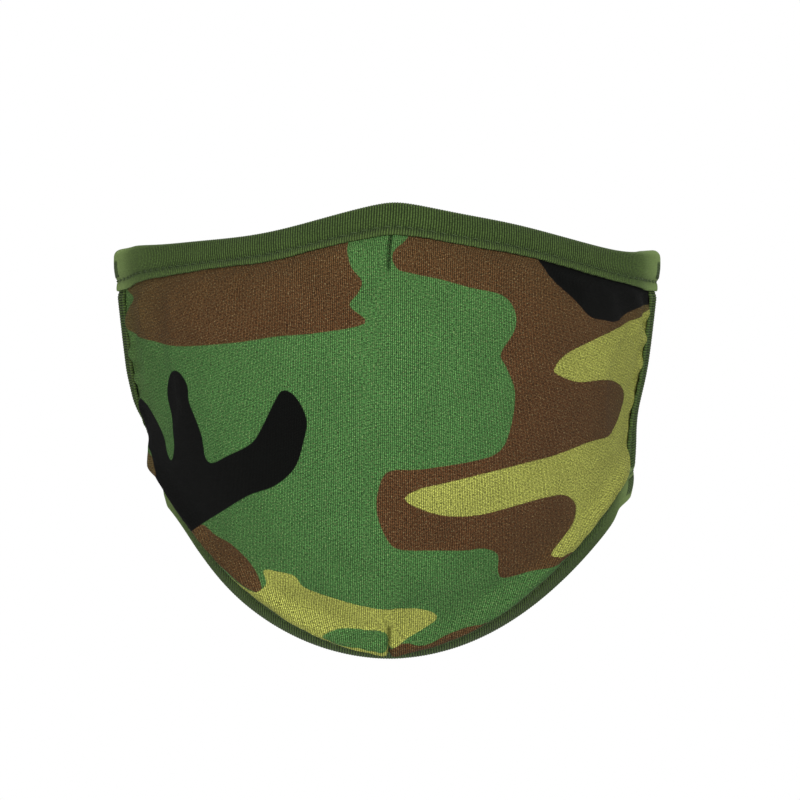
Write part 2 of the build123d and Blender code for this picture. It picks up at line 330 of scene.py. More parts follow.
BLACK_OUTLINES = [
    # a hand on the wearer's right
    [(-71, -10), (-76, -13), (-78, -18), (-76, -24), (-74, -30), (-76, -35), (-80, -32), (-86, -27),
     (-94, -22), (-101, -20), (-106, -26), (-99, -31), (-91, -35), (-84, -40), (-88, -43), (-97, -46),
     (-108, -48), (-104, -60), (-88, -64), (-72, -62), (-66, -57), (-60, -51), (-50, -44), (-41, -38),
     (-33, -34), (-28, -30), (-25, -26), (-23, -20), (-22, -14), (-25, -9), (-29, -8), (-32, -12),
     (-36, -19), (-40, -24), (-49, -29), (-55, -32), (-58, -31), (-59, -26), (-61, -22), (-64, -17),
     (-64, -13), (-67, -10)],
    # under the top binding on the wearer's left
    [(40, 50), (41, 30), (43, 23), (46, 18), (53, 12), (60, 6), (67, 4), (74, 3), (83, 5), (91, 6),
     (104, 6), (126, 10), (126, 60), (60, 60)],
]


def between(a, b, c, d, t):
    """The point at share t from b to c on the Catmull-Rom curve through a, b, c and d."""
    square, cube = 2 * a - 5 * b + 4 * c - d, 3 * b - a - 3 * c + d
    return 0.5 * (2 * b + (c - a) * t + square * t * t + cube * t**3)


def rounded(outline, per_side=5):
    """The closed smooth curve through an outline's points."""
    points = np.array(outline, float)
    before, after, beyond = np.roll(points, 1, 0), np.roll(points, -1, 0), np.roll(points, -2, 0)
    curve = [between(before, points, after, beyond, t) for t in np.arange(per_side) / per_side]
    return np.stack(curve, 1).reshape(-1, 2)


def inside_by(across, up, outline):
    """How far each print point is inside an outline, negative outside it."""
    curve = rounded(outline)
    nearest = np.full(across.shape, 1e9)
    inside = np.zeros(across.shape, bool)
    for (ax, ay), (bx, by) in zip(curve, np.roll(curve, -1, 0)):
        dx, dy = bx - ax, by - ay
        share = np.clip(((across - ax) * dx + (up - ay) * dy) / max(dx * dx + dy * dy, 1e-9), 0, 1)
        nearest = np.minimum(nearest, (across - ax - share * dx) ** 2 + (up - ay - share * dy) ** 2)
        if ay != by:
            crossing = ax + (up - ay) / (by - ay) * dx
            inside ^= ((ay > up) != (by > up)) & (across < crossing)
    return np.sqrt(nearest) * np.where(inside, 1, -1)


def inks(across, up):
    """The three printed inks over the green ground, as distances inside each ink's patches."""
    brown = np.max([inside_by(across, up, o) for o in BROWN_OUTLINES], axis=0)
    sand = np.max([inside_by(across, up, o) for o in SAND_OUTLINES], axis=0)
    sand = np.minimum(sand, -inside_by(across, up, ISLET_OUTLINE))
    black = np.max([inside_by(across, up, o) for o in BLACK_OUTLINES], axis=0)
    return {"brown": brown, "sand": sand, "black": black}


# ---- Materials ----
def linear(red, green, blue):
    """A colour given as 0 to 255 on screen."""
    values = [c / 255 for c in (red, green, blue)]
    return [c / 12.92 if c <= 0.04045 else ((c + 0.055) / 1.055) ** 2.4 for c in values] + [1.0]


class Shader:
    """A node material under construction."""

    def __init__(self, name, roughness, sheen=0.0, specular=0.3):
        self.material = bpy.data.materials.new(name)
        self.material.use_nodes = True
        self.tree = self.material.node_tree
        self.surface = self.tree.nodes["Principled BSDF"]
        self.surface.inputs["Sheen Weight"].default_value = sheen
        self.surface.inputs["Sheen Roughness"].default_value = 0.5
        self.surface.inputs["Specular IOR Level"].default_value = specular
        self.surface.inputs["Roughness"].default_value = roughness

    def node(self, kind, inputs=None, **settings):
        made = self.tree.nodes.new(kind)
        for key, value in settings.items():
            setattr(made, key, value)
        for key, value in (inputs or {}).items():
            self.feed(made.inputs[key], value)
        return made

    def feed(self, socket, value):
        if isinstance(value, bpy.types.NodeSocket):
            self.tree.links.new(value, socket)
        else:
            socket.default_value = value

    def math(self, operation, a, b=0.0, c=0.0):
        return self.node("ShaderNodeMath", {0: a, 1: b, 2: c}, operation=operation).outputs[0]

    def ramp(self, value, low, high, to_low=0.0, to_high=1.0, kind="SMOOTHSTEP"):
        wanted = {"Value": value, "From Min": low, "From Max": high, "To Min": to_low, "To Max": to_high}
        return self.node("ShaderNodeMapRange", wanted, interpolation_type=kind).outputs["Result"]

    def mix(self, share, a, b, blend="MIX"):
        made = self.node("ShaderNodeMix", data_type="RGBA", blend_type=blend)
        for key, value in ((0, share), (6, a), (7, b)):
            self.feed(made.inputs[key], value)
        return made.outputs[2]

    def attribute(self, name):
        return self.node("ShaderNodeAttribute", attribute_name=name).outputs["Fac"]

    def noise(self, vector, scale, detail=2.0, roughness=0.5):
        wanted = {"Vector": vector, "Scale": scale, "Detail": detail, "Roughness": roughness}
        return self.node("ShaderNodeTexNoise", wanted).outputs["Fac"]

    def cloth_uv(self, stretch=(1, 1, 1)):
        """The cloth coordinates in millimetres: x across, y along, and both stretched."""
        uv = self.node("ShaderNodeUVMap", uv_map="cloth").outputs["UV"]
        return self.node("ShaderNodeVectorMath", {0: uv, 1: stretch}, operation="MULTIPLY").outputs[0]

    def axes(self, vector):
        split = self.node("ShaderNodeSeparateXYZ", {0: vector})
        return split.outputs[0], split.outputs[1]

    def shade(self, colour, amount, spread):
        """colour made lighter and darker by a 0 to 1 amount, evenly round the middle."""
        gain = self.ramp(amount, 0, 1, 1 - spread, 1 + spread, "LINEAR")
        grey = self.node("ShaderNodeCombineColor", {0: gain, 1: gain, 2: gain}).outputs[0]
        return self.mix(1.0, colour, grey, "MULTIPLY")

    def finish(self, colour, height, depth, roughness=None):
        self.feed(self.surface.inputs["Base Color"], colour)
        wanted = {"Height": height, "Distance": depth * MM, "Strength": 1.0}
        bump = self.node("ShaderNodeBump", wanted).outputs["Normal"]
        self.feed(self.surface.inputs["Normal"], bump)
        if roughness is not None:
            self.feed(self.surface.inputs["Roughness"], roughness)
        return self.material


def knit_height(shader, wale, course):
    """Jersey knit: columns of interlocking V shaped loops. 0 in the gaps, 1 on the yarn."""
    across, along = shader.axes(shader.cloth_uv((1 / wale, 1 / course, 1)))
    off_centre = shader.math("ABSOLUTE", shader.math("SUBTRACT", shader.math("FRACT", across), 0.5))
    slanted = shader.math("ADD", along, shader.math("MULTIPLY", off_centre, 1.3))
    yarn = shader.math("SINE", shader.math("MULTIPLY", slanted, 2 * math.pi))
    column = shader.math("COSINE", shader.math("MULTIPLY", off_centre, math.pi))
    return shader.math("MULTIPLY", column, shader.math("MULTIPLY_ADD", yarn, 0.32, 0.68))


def jersey(name, colour, wale=0.50, course=0.42, speckle=0.80, base=None):
    """A knit cloth. base(shader, fuzz) may give the colour from the cloth's marks instead of one colour."""
    shader = Shader(name, 0.9, sheen=0.01, specular=0.07)
    knit = knit_height(shader, wale, course)
    uv = shader.cloth_uv()
    fuzz = shader.noise(shader.cloth_uv((1.7, 2.1, 1)), 1.0, 4.0, 0.85)
    broad = shader.noise(uv, 0.09, 3.0)
    tint = base(shader, fuzz) if base else colour
    # painted shade in the knit's gaps and painted highlights on its loops
    tint = shader.shade(tint, shader.ramp(knit, 0.2, 0.95), 0.70)
    tint = shader.shade(tint, shader.ramp(fuzz, 0.36, 0.64, kind="LINEAR"), speckle)
    tint = shader.shade(tint, shader.ramp(broad, 0.25, 0.75), 0.07)
    height = shader.math("MULTIPLY_ADD", fuzz, 0.5, knit)
    rough = shader.ramp(fuzz, 0.3, 0.7, 0.82, 0.96)
    return shader.finish(tint, height, 0.16, rough)


GREEN = linear(72, 118, 62)
BROWN = linear(88, 58, 34)
SAND = linear(168, 172, 82)
BLACK = linear(7, 8, 6)
BARE_YARN = linear(168, 162, 118)
FADED_INK = linear(112, 124, 62)
# paler tape colour: rubbing, and painted light on the tape's ends
WORN_AND_LIT_TAPE = linear(116, 136, 82)
# painted shade for the tape's sewn groove
SEAM_SHADE = linear(24, 34, 16)
INK_EDGE = 0.14
COURSE_PITCH = 0.42
CORD_PITCH, SLANT_PITCH = 1.0, 0.8
BOND_PITCH = 1.8


def camouflage(shader, fuzz):
    """Four inks, with edges as ragged as the knit that takes them, and a little wear by the edges.

    Bare yarn shows in specks through every ink but the black."""
    ragged = shader.ramp(fuzz, 0, 1, -0.25, 0.25, "LINEAR")
    colour = GREEN
    specks = shader.noise(shader.cloth_uv((2.3, 1.9, 1)), 1.0, 3.0, 0.8)
    bare = shader.ramp(specks, 0.50, 0.70, 0.0, 0.36)
    for ink, paint in (("brown", BROWN), ("sand", SAND), ("black", BLACK)):
        cover = shader.ramp(shader.math("ADD", shader.attribute(ink), ragged), -INK_EDGE, INK_EDGE)
        if ink == "sand":
            faded = shader.mix(0.42, colour, FADED_INK)
            colour = shader.mix(shader.attribute("wear_and_light"), colour, faded)
        if ink == "black":
            colour = shader.mix(bare, colour, BARE_YARN)
        colour = shader.mix(cover, colour, paint)
    # painted shade: the crease down each dart is darkened towards black
    return shader.mix(shader.math("MULTIPLY", shader.attribute("seam"), 0.5), colour, BLACK)


def ribbed_tape(name, colour):
    """Fold-over knit tape: fine ribs across it, a little heather in the yarn, paler on rubbed folds and
    with painted light on its ends.
    """
    shader = Shader(name, 0.88, sheen=0.03, specular=0.12)
    along, across = shader.axes(shader.cloth_uv())
    ribs = shader.math("COSINE", shader.math("MULTIPLY", along, 2 * math.pi / RIB))
    courses = shader.math("SINE", shader.math("MULTIPLY", across, 2 * math.pi / COURSE_PITCH))
    fuzz = shader.noise(shader.cloth_uv((1.6, 2.2, 1)), 1.0, 3.0, 0.75)
    broad = shader.noise(shader.cloth_uv(), 0.11, 2.0)
    rib_share = shader.ramp(ribs, -1, 1)
    # painted shade between the ribs and painted highlights on their crests
    tint = shader.shade(colour, rib_share, 0.68)
    tint = shader.shade(tint, shader.ramp(courses, -1, 1), 0.12)
    tint = shader.shade(tint, shader.ramp(fuzz, 0.38, 0.62, kind="LINEAR"), 0.42)
    tint = shader.shade(tint, shader.ramp(broad, 0.25, 0.75), 0.07)
    # paler where rubbed, and painted light on the ends that turn from the light
    worn_and_lit = shader.mix(0.85, tint, WORN_AND_LIT_TAPE)
    tint = shader.mix(shader.attribute("wear_and_light"), tint, worn_and_lit)
    # painted shade in the sewn groove
    tint = shader.mix(shader.math("MULTIPLY", shader.attribute("seam"), 0.55), tint, SEAM_SHADE)
    raised = shader.math("MULTIPLY_ADD", fuzz, 0.6, rib_share)
    height = shader.math("MULTIPLY_ADD", courses, 0.25, raised)
    return shader.finish(tint, height, 0.09, shader.ramp(fuzz, 0.3, 0.7, 0.80, 0.95))


def braided_elastic(name, colour):
    """Flat knitted elastic: lengthwise cords crossed by slanting yarn."""
    shader = Shader(name, 0.82, sheen=0.04, specular=0.15)
    along, across = shader.axes(shader.cloth_uv())
    cord = shader.math("MULTIPLY", across, 2 * math.pi / CORD_PITCH)
    zigzag = shader.math("ABSOLUTE", shader.math("SINE", shader.math("MULTIPLY", cord, 0.5)))
    slope = shader.math("MULTIPLY", along, 2 * math.pi / SLANT_PITCH)
    slant = shader.math("MULTIPLY_ADD", zigzag, 2.2, slope)
    yarn = shader.ramp(shader.math("SINE", slant), -1, 1)
    fuzz = shader.noise(shader.cloth_uv((2.2, 3.0, 1)), 1.0, 3.0, 0.6)
    tint = shader.shade(colour, yarn, 0.22)
    tint = shader.shade(tint, zigzag, 0.15)
    tint = shader.shade(tint, shader.ramp(fuzz, 0.3, 0.7, kind="LINEAR"), 0.15)
    height = shader.math("MULTIPLY_ADD", zigzag, 0.8, shader.math("MULTIPLY_ADD", fuzz, 0.3, yarn))
    return shader.finish(tint, height, 0.08, shader.ramp(fuzz, 0.3, 0.7, 0.72, 0.90))


def twisted_thread(name, colour):
    """Spun sewing thread: strands that wind round it."""
    shader = Shader(name, 0.6, sheen=0.02, specular=0.25)
    along, turn = shader.axes(shader.cloth_uv())
    wound = shader.math("MULTIPLY_ADD", turn, 4 * math.pi, shader.math("MULTIPLY", along, 9.0))
    strand = shader.ramp(shader.math("SINE", wound), -1, 1)
    fuzz = shader.noise(shader.cloth_uv((6, 9, 1)), 1.0)
    tint = shader.shade(colour, strand, 0.28)
    tint = shader.shade(tint, shader.ramp(fuzz, 0.3, 0.7), 0.12)
    return shader.finish(tint, strand, 0.05, shader.ramp(strand, 0, 1, 0.68, 0.48))


def felted(name, colour):
    """Non-woven filter cloth: short fibres pressed together, with rows of bonding dots."""
    shader = Shader(name, 0.93)
    fibres = shader.noise(shader.cloth_uv((1.2, 5.0, 1)), 1.0, 5.0, 0.7)
    across, along = shader.axes(shader.cloth_uv((1 / BOND_PITCH, 1 / BOND_PITCH, 1)))
    row = shader.math("SINE", shader.math("MULTIPLY", across, 2 * math.pi))
    dots = shader.math("MULTIPLY", row, shader.math("SINE", shader.math("MULTIPLY", along, 2 * math.pi)))
    tint = shader.shade(colour, shader.ramp(fibres, 0.3, 0.7), 0.10)
    tint = shader.shade(tint, shader.ramp(dots, 0.2, 0.8, 1, 0), 0.05)
    return shader.finish(tint, shader.math("MULTIPLY_ADD", dots, -0.5, fibres), 0.10)


CAMO_CLOTH = jersey("camo_jersey", GREEN, base=camouflage)
LINING_CLOTH = jersey("lining_jersey", linear(86, 97, 74), wale=0.55, course=0.44, speckle=0.45)
FILTER_CLOTH = felted("filter_fabric", linear(222, 222, 218))
TAPE_CLOTH = ribbed_tape("green_binding", linear(54, 71, 32))
LOOP_CLOTH = braided_elastic("ear_loop_knit", linear(60, 78, 38))
THREAD = twisted_thread("thread", linear(56, 73, 36))


def dress(piece, material, slot, body, *nodes):
    """Gives a piece its material and its body, and has it stand for its CAD nodes. slot is not used."""
    piece.data.materials.append(material)
    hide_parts(*nodes)
    if body:
        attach(piece, body)
    return piece


# ---- The layers ----
NOSE_DART, CHIN_DART = 10.5, 12.0
CLOTH_SLACK, EASING_FRAMES, EASING_CAP = -0.014, 30, 0.8
SHELL_GRID, EASING_GRID, FILTER_GRID, LINING_GRID = (271, 165), (109, 83), (81, 61), (191, 131)
PUCKER_PITCH = 8.2
CROWN, LOWER_ROLL, DRAPE = 0.85, 2.3, 0.28
# At each side: (phase of the gathers, their height, how much fuller the cloth stands low down)
RIGHT_GATHERS, LEFT_GATHERS = (-1.0, 1.3, 1.1), (1.0, 1.2, -0.2)
FILTER_THICKNESS, FILTER_DEPTH = 0.3, 0.35
LINING_NOSE_SEAM, LINING_CHIN_SEAM = 26.0, 30.0


def gathers(along, side):
    """An uneven wave along a side edge that the tape draws in, from -1.2 in a notch to 1.2 on a fold."""
    phase = 2 * np.pi * along / PUCKER_PITCH + 0.9 * np.sin(2 * np.pi * along / 27 + side) + 1.3 * side
    return (np.cos(phase) + 0.4 * np.cos(0.47 * phase + 2.0 * side)) / 1.2


def relief(grid):
    """How high the printed layer stands, in millimetres: crowned between the tapes and drawn in at them."""
    past_top = grid.from_top - BINDING_WIDTH
    past_bottom = grid.to_bottom - BINDING_WIDTH
    past_right = grid.from_right - SIDE_BINDING_WIDTH
    past_left = grid.to_left - SIDE_BINDING_WIDTH
    height = 1.0
    for past, reach in ((past_top, 2.5), (past_bottom, 2.0), (past_right, 3.0), (past_left, 3.0)):
        height = height * (1 - np.exp(-np.clip(past, 0, None) / reach))
    height = CROWN * height
    off_sides = smooth(0, 6, past_right) * smooth(0, 5, past_left)
    height += LOWER_ROLL * bell(past_bottom, 3.6, 4.6) * smooth(-0.3, 2.2, past_bottom) * off_sides
    calm = 1 - 0.75 * smooth(0.5, 0.7, grid.v)
    for past, (side, size, fullness) in ((past_right, RIGHT_GATHERS), (past_left, LEFT_GATHERS)):
        swell = (1 - np.exp(-np.clip(past, 0, None) / 0.9)) * np.exp(-np.clip(past, 0, None) / 6.0)
        clear = smooth(0, 5, past_top) * smooth(0, 5, past_bottom)
        height += size * calm * gathers(grid.from_top, side) * swell * clear
        height += (0.5 + fullness * smooth(0.5, 0.9, grid.v)) * swell * clear
    drape = np.sin(grid.across / 17 + 0.6) * np.sin(grid.up / 13 + 1.1)
    drape += np.sin(grid.across / 29 - grid.up / 21)
    height += DRAPE * drape * smooth(0, 12, past_top) * smooth(0, 12, past_bottom)
    # each dart is a short seam that sinks between two soft lips and ends in a dimple
    for past, length in ((past_top, NOSE_DART), (past_bottom, CHIN_DART)):
        run = smooth(-1.5, 0.5, past) * (1 - smooth(length - 2.0, length + 1.0, past))
        lips = 0.55 * bell(grid.across, 1.6, 1.3) + 0.35 * bell(grid.across, -1.7, 1.5)
        height += run * (lips - 1.5 * bell(grid.across, 0, 0.36))
        height += -0.45 * bell(past, length, 1.8) * bell(grid.across, -0.3, 1.1)
        height += 0.25 * bell(past, length + 3, 3.0) * bell(grid.across, -2.5, 2.5)
    return height


def eased(grid):
    """How far the printed cloth moves off its first shape when Cloth lets its slack out, in millimetres.

    The tapes and the darts hold it, a little pressure keeps the cup full, and the slack that's cut into the
    cloth finds its own soft folds."""
    coarse = Layout(*EASING_GRID)
    start = skin(coarse.u, coarse.v, relief(coarse))
    index = np.arange(coarse.u.size).reshape(coarse.u.shape)
    quads = np.stack([index[:-1, :-1], index[1:, :-1], index[1:, 1:], index[:-1, 1:]], -1).reshape(-1, 4)
    cloth = make_object("easing_cloth", start.reshape(-1, 3), quads.tolist())
    inside = np.minimum(
        np.minimum(coarse.from_top, coarse.to_bottom) - BINDING_WIDTH,
        np.minimum(coarse.from_right, coarse.to_left) - SIDE_BINDING_WIDTH,
    )
    near_dart = (np.abs(coarse.across) < 1.2) & (
        (coarse.from_top < BINDING_WIDTH + NOSE_DART) | (coarse.to_bottom < BINDING_WIDTH + CHIN_DART)
    )
    held = cloth.vertex_groups.new(name="held")
    held.add([int(i) for i in index[(inside < 0.6) | near_dart]], 1.0, "REPLACE")
    settings = cloth.modifiers.new("ease", "CLOTH").settings
    settings.vertex_group_mass = "held"
    settings.quality = 8
    settings.mass = 0.05
    settings.tension_stiffness = 25
    settings.compression_stiffness = 25
    settings.shear_stiffness = 8
    settings.bending_stiffness = 0.6
    settings.shrink_min = CLOTH_SLACK
    settings.use_pressure = True
    settings.uniform_pressure_force = 0.15
    settings.effector_weights.gravity = 0
    scene = bpy.context.scene
    for number in range(1, EASING_FRAMES + 1):
        scene.frame_set(number)
    solved = cloth.evaluated_get(bpy.context.evaluated_depsgraph_get()).data
    moved = np.zeros(coarse.u.size * 3)
    solved.vertices.foreach_get("co", moved)
    scene.frame_set(1)
    bpy.data.objects.remove(cloth)
    normal = cup_frame(coarse.u, coarse.v)[1]
    off = ((moved.reshape(start.shape) / MM - start) * normal).sum(-1)
    off = EASING_CAP * np.tanh(off / EASING_CAP) * smooth(0, 4, inside)
    print("easing moved the cloth by", off.min().round(2), "to", off.max().round(2), "mm")
    us, vs = coarse.u[:, 0], coarse.v[0]
    along = np.array([np.interp(grid.v[0], vs, row) for row in off])
    return np.stack([np.interp(grid.u[:, 0], us, column) for column in along.T], -1)


def dart_crease_shade(grid):
    """Painted shade along the crease down each dart, where the two sides meet."""
    marks = np.zeros(grid.u.shape)
    for past, length in ((grid.from_top, NOSE_DART), (grid.to_bottom, CHIN_DART)):
        marks += 1 - smooth(length - 1.5, length + 0.8, past - BINDING_WIDTH)
    return marks * bell(grid.across, 0, 0.42)


def wear_marks(grid):
    """Where handling has dulled the print: beside the tapes, most of all at the sides."""
    sides = np.exp(-np.minimum(grid.from_right, grid.to_left) / 16)
    rims = np.exp(-np.minimum(grid.from_top, grid.to_bottom) / 14)
    return np.clip(0.95 * sides + 0.25 * rims, 0, 1)


def layer(name, grid, outer_height, inner_height, marks=None):
    outer, inner = (skin(grid.u, grid.v, height) for height in (outer_height, inner_height))
    return closed_sheet(name, outer, inner, np.stack([grid.across, grid.up], -1), marks)


shell_grid = Layout(*SHELL_GRID)
shell_relief = relief(shell_grid) + eased(shell_grid)
shell = layer(
    "camo_shell",
    shell_grid,
    shell_relief,
    shell_relief - PLY,
    {
        **inks(shell_grid.across, shell_grid.up),
        "wear_and_light": wear_marks(shell_grid),
        # seam holds the painted shade in the darts' creases
        "seam": dart_crease_shade(shell_grid),
    },
)
dress(shell, CAMO_CLOTH, "camo_jersey", "mask", "outer_shell")

filter_grid = Layout(*FILTER_GRID)
filter_height = np.full(filter_grid.u.shape, -PLY - PLY_GAP - FILTER_DEPTH)
filter_piece = layer("filter_sheet", filter_grid, filter_height, filter_height - FILTER_THICKNESS)
dress(filter_piece, FILTER_CLOTH, "filter_fabric", "mask", "filter_layer")

lining_grid = Layout(*LINING_GRID)
lining_top = -2 * (PLY + PLY_GAP)
swag = 0.25 * (
    gathers(lining_grid.from_top, 0.4)
    * (np.exp(-lining_grid.from_right / 12) + np.exp(-lining_grid.to_left / 12))
    * smooth(BINDING_WIDTH, BINDING_WIDTH + 6, lining_grid.from_top)
    * smooth(BINDING_WIDTH, BINDING_WIDTH + 6, lining_grid.to_bottom)
)
lining_inner = lining_top - PLY - np.abs(swag)
fold = 0.55 * bell(lining_grid.across, 1.2, 1.0) - 0.25 * bell(lining_grid.across, 0, 0.4)
for past, length in ((lining_grid.from_top, LINING_NOSE_SEAM), (lining_grid.to_bottom, LINING_CHIN_SEAM)):
    lining_inner -= (1 - smooth(length - 6, length, past)) * fold
lining = layer("lining_cloth", lining_grid, np.full(lining_grid.u.shape, lining_top), lining_inner)
dress(lining, LINING_CLOTH, "lining_jersey", "mask", "inner_lining")


# ---- The bindings ----
RIB_STEPS = 4
RIB_HEIGHT = 0.07
EDGE_ROUND = 0.5
STITCH_PITCH = 3.0
STITCH_LENGTH = 2.1
# Shares of the tape's width, closer together at its edge and at the sewn groove
TAPE_SHARES = [0, 0.012, 0.03, 0.06, 0.13, 0.21, 0.255, 0.28, 0.305, 0.35, 0.5, 0.67, 0.84, 1]
# How far a side tape reaches in under the top tape and the bottom tape
TUCK_ABOVE, TUCK_BELOW = 2.5, 5.0


def tape_section(width):
    """The folded tape's middle line and normals: (distance in, height, normal's two parts, way round)."""
    middle = -STACK / 2
    radius = STACK / 2 + TAPE_GAP + TAPE / 2
    flats = width * (1 - np.array(TAPE_SHARES))
    turns = np.linspace(0, np.pi, 11)[1:-1]
    inward = np.concatenate([flats, -radius * np.sin(turns), flats[::-1]])
    front, back = (np.full(len(flats), middle + way * radius) for way in (1, -1))
    height = np.concatenate([front, middle + radius * np.cos(turns), back])
    out_in = np.concatenate([np.zeros(len(flats)), -np.sin(turns), np.zeros(len(flats))])
    out_up = np.concatenate([np.ones(len(flats)), np.cos(turns), -np.ones(len(flats))])
    step = np.hypot(np.diff(inward), np.diff(height))
    return inward, height, out_in, out_up, np.concatenate([[0], np.cumsum(step)])


def tape_piece(name, positions, place, width, sewn_in, ends_closed):
    """A folded binding, from samples along its edge. place(position, distance in) gives (u, v)."""
    inward, height, out_in, out_up, way_round = tape_section(width)
    nothing = np.zeros(len(positions))
    run = running(skin(*place(positions, nothing), nothing), 0)[:, None]
    length = run[-1, 0]
    from_edge = np.clip(way_round[None, :] / EDGE_ROUND, 0, 1)
    round_end = np.sqrt(np.clip(1 - (1 - from_edge) ** 2, 0.02, 1))
    half = TAPE / 2 * round_end * round_end[:, ::-1]
    to_end = np.minimum(run, length - run)
    half = half * np.sqrt(np.clip(1 - (1 - np.clip(to_end / 0.7, 0, 1)) ** 2, 0.05, 1))
    flat_side = np.abs(out_up)[None, :] ** 4
    sewn = bell(inward, sewn_in, 0.62)[None, :] * flat_side
    beat = 0.5 + 0.5 * np.cos(2 * np.pi * run / STITCH_PITCH)
    lip = smooth(sewn_in + 0.4, width, inward)[None, :] * flat_side
    ease = 0.10 * np.cos(2 * np.pi * run / STITCH_PITCH + 0.6) + 0.08 * np.sin(run / 4.1)
    ribs = RIB_HEIGHT * np.cos(2 * np.pi * run / RIB) * (0.35 + 0.65 * (1 - sewn))
    crown = 0.30 * bell(inward, sewn_in * 0.45, sewn_in * 0.38)[None, :] * flat_side
    outer_bump = ribs + crown - sewn * (0.34 + 0.16 * beat) + lip * (ease + 0.12)
    inner_bump = crown - sewn * 0.15 + lip * ease
    if ends_closed:
        squeeze = 0.72 + 0.28 * smooth(0, FOLD_REACH, to_end)
    else:
        squeeze = 0.45 + 0.55 * smooth(1.6, 4.6, to_end)
    edge_wave = (0.13 * np.sin(run / 4.9) + 0.05 * np.sin(run / 1.7 + 1)) * lip
    shut = (1 - smooth(0.6, 1.4, to_end)) * ends_closed

    def surface(offset):
        inset = inward[None, :] + out_in[None, :] * offset + edge_wave
        raise_by = -STACK / 2 + (height[None, :] + STACK / 2) * squeeze + out_up[None, :] * offset
        at_u, at_v = place(positions[:, None], inset)
        return skin(at_u, at_v, raise_by)

    uv = np.stack(np.broadcast_arrays(run, way_round[None, :]), -1)
    # paler at the ends of the top and bottom tapes, on the folds and along the lip: partly rubbing, partly
    # painted light that lifts the ends where they turn away from the light
    worn_and_lit = np.clip(bell(to_end, 0, 15) * ends_closed + 0.25 * (1 - flat_side) + 0.1 * lip, 0, 1)
    filled = 0.05 - (STACK / 2 + TAPE_GAP + TAPE / 2) * squeeze
    inner_side = (-half + inner_bump) * (1 - shut) + filled * shut
    # seam: painted shade along the sewn groove, darkest at each stitch
    marks = {"wear_and_light": worn_and_lit, "seam": sewn * (0.45 + 0.55 * beat)}
    return closed_sheet(name, surface(half + outer_bump), surface(inner_side), uv, marks)


def rim_samples(edge_v):
    """Values of u, a quarter rib apart, from end to end of the top or bottom tape."""
    fine = np.linspace(-1, 1, 801)
    points = cup_point(fine, np.full(801, edge_v))
    length = running(points, 0)
    count = int((length[-1] + 2 * FOLD_REACH) / (RIB / RIB_STEPS)) + 1
    wanted = np.linspace(-FOLD_REACH, length[-1] + FOLD_REACH, count)
    inside = np.interp(wanted, length, fine)
    scale = cup_frame(np.array([-1.0, 1.0]), np.full(2, edge_v))[2]
    low, high = np.minimum(wanted, 0) / scale[0], np.maximum(wanted - length[-1], 0) / scale[1]
    return inside + low + high


def rim_place(edge_v):
    """The place function of the top or bottom tape."""
    inward = 1 if edge_v == TOP else -1

    def place(u, distance):
        u = np.broadcast_to(u, np.broadcast(u, distance).shape)
        per_mm = inward / cup_frame(u, np.full(u.shape, edge_v))[3]
        return u, edge_v + distance * per_mm

    return place


def side_samples(side):
    """Values of v, a quarter rib apart, from end to end of a side tape."""
    fine = np.linspace(0, 1, 401)
    length = running(cup_point(np.full(401, side), fine), 0)
    start, end = BINDING_WIDTH - TUCK_ABOVE, length[-1] - BINDING_WIDTH + TUCK_BELOW
    return np.interp(np.arange(start, end, RIB / RIB_STEPS), length, fine)


def side_place(side):
    """The place function of a side tape."""

    def place(v, distance):
        v = np.broadcast_to(v, np.broadcast(v, distance).shape)
        per_mm = -side / cup_frame(np.full(v.shape, side), v)[2]
        return side + distance * per_mm, v

    return place


TOP_SEWN, SIDE_SEWN = BINDING_WIDTH - 2.6, SIDE_BINDING_WIDTH - 1.9
for name, edge_v in (("top", TOP), ("bottom", BOTTOM)):
    samples, place = rim_samples(edge_v), rim_place(edge_v)
    made = tape_piece(f"{name}_tape", samples, place, BINDING_WIDTH, TOP_SEWN, True)
    dress(made, TAPE_CLOTH, "green_binding", "mask", f"{name}_binding")
for name, side in (("right", RIGHT), ("left", LEFT)):
    samples, place = side_samples(side), side_place(side)
    made = tape_piece(f"{name}_tape", samples, place, SIDE_BINDING_WIDTH, SIDE_SEWN, False)
    dress(made, TAPE_CLOTH, "green_binding", "mask", f"{name}_side_binding")


# ---- Thread ----
THREAD_RADIUS, DART_THREAD_RADIUS, TACK_THREAD_RADIUS = 0.2, 0.13, 0.16
DART_STITCH_PITCH, DART_STITCH_WIDTH = 1.6, 0.8
HALF_ACROSS = 113  # half of the cup's width along the cloth, about
TACK_STEPS, TACK_REACH = 17, 2.4
FACE_HEIGHT = TAPE_GAP + TAPE
BACK_HEIGHT = -STACK - TAPE_GAP - TAPE


def stitch_lines(positions, place, sewn_in, height, sign):
    """The visible stitches of one row: each rises from one needle hole and dips into the next."""
    on_edge = skin(*place(positions, np.full(len(positions), sewn_in)), np.full(len(positions), height))
    run = running(on_edge, 0)
    count = int(run[-1] / STITCH_PITCH)
    lines = []
    for k in range(count):
        middle = (k + 0.5) * STITCH_PITCH
        reach = np.linspace(-0.5, 0.5, 7)
        at = np.interp(middle + reach * STITCH_LENGTH, run, positions)
        slant = sewn_in + reach * 0.35
        rise = height + sign * (0.10 - 1.7 * np.abs(reach) ** 2.2)
        lines.append(skin(*place(at, slant), rise))
    return lines


def both_faces(positions, place, sewn_in):
    front = stitch_lines(positions, place, sewn_in, FACE_HEIGHT - 0.36, 1)
    back = stitch_lines(positions, place, sewn_in, BACK_HEIGHT + 0.20, -1)
    return front + back


